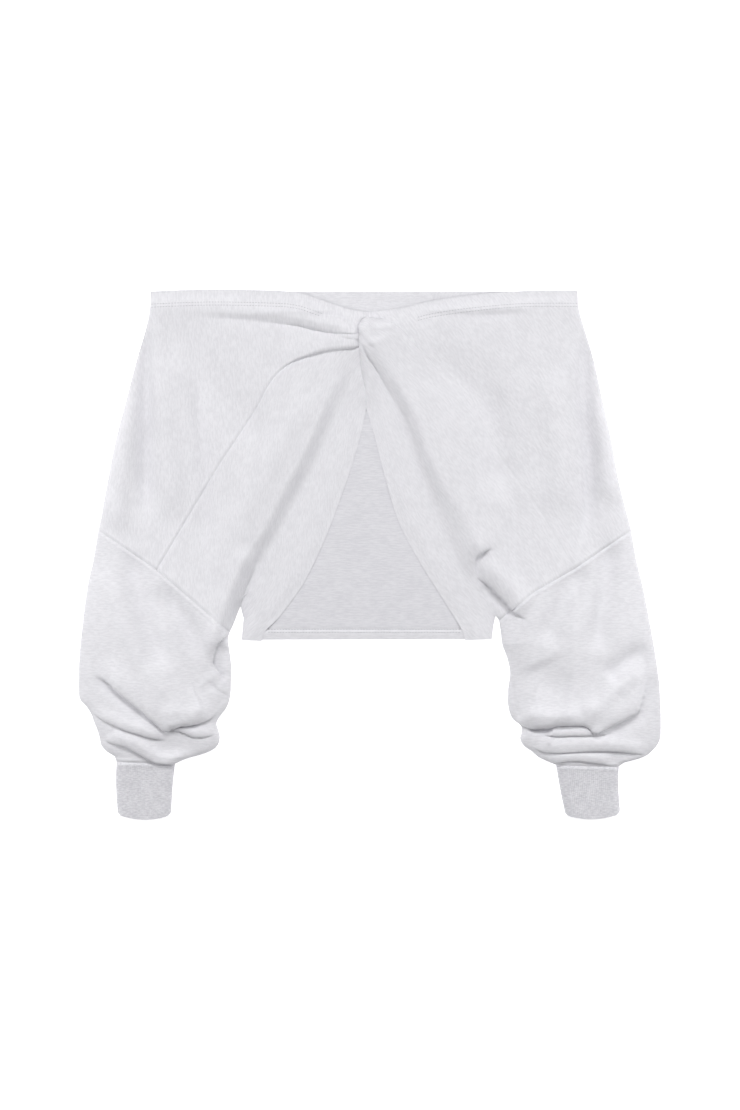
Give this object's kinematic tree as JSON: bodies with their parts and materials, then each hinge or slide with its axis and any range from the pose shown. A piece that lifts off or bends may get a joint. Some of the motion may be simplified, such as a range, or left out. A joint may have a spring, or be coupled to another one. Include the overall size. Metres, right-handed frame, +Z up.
{
  "type": "off-shoulder top",
  "caption": "Cropped off-shoulder sweatshirt laid flat: twisted front over an open inverted V, raglan batwing shoulders, full lower sleeves gathered above rib cuffs.",
  "frame": {"origin": "on the surface that the garment lies on, under the middle of the back panel, midway between the cuffs' and the neck's ends", "axes": "+Z up from the surface, out of the garment's front; +Y from the hem towards the neck; +X towards the right sleeve as seen from above"},
  "size_m": [0.7255, 0.6585, 0.0378],
  "materials": {
    "fleece": "soft matt pale heather-grey sweatshirt fleece, plain knit face outside",
    "loop_side": "unbrushed inner side of the same fleece, fine horizontal loops, a little darker",
    "rib": "fine matt rib knit, a little darker and more speckled than the body"
  },
  "bodies": {
    "root": {"back": "loop_side", "upper_sleeve_left": "fleece", "upper_sleeve_right": "fleece", "front_left": "fleece", "front_right": "fleece", "lower_sleeve_left": "fleece", "lower_sleeve_right": "fleece", "cuff_left": "rib", "cuff_right": "rib"}
  },
  "joints": []
}
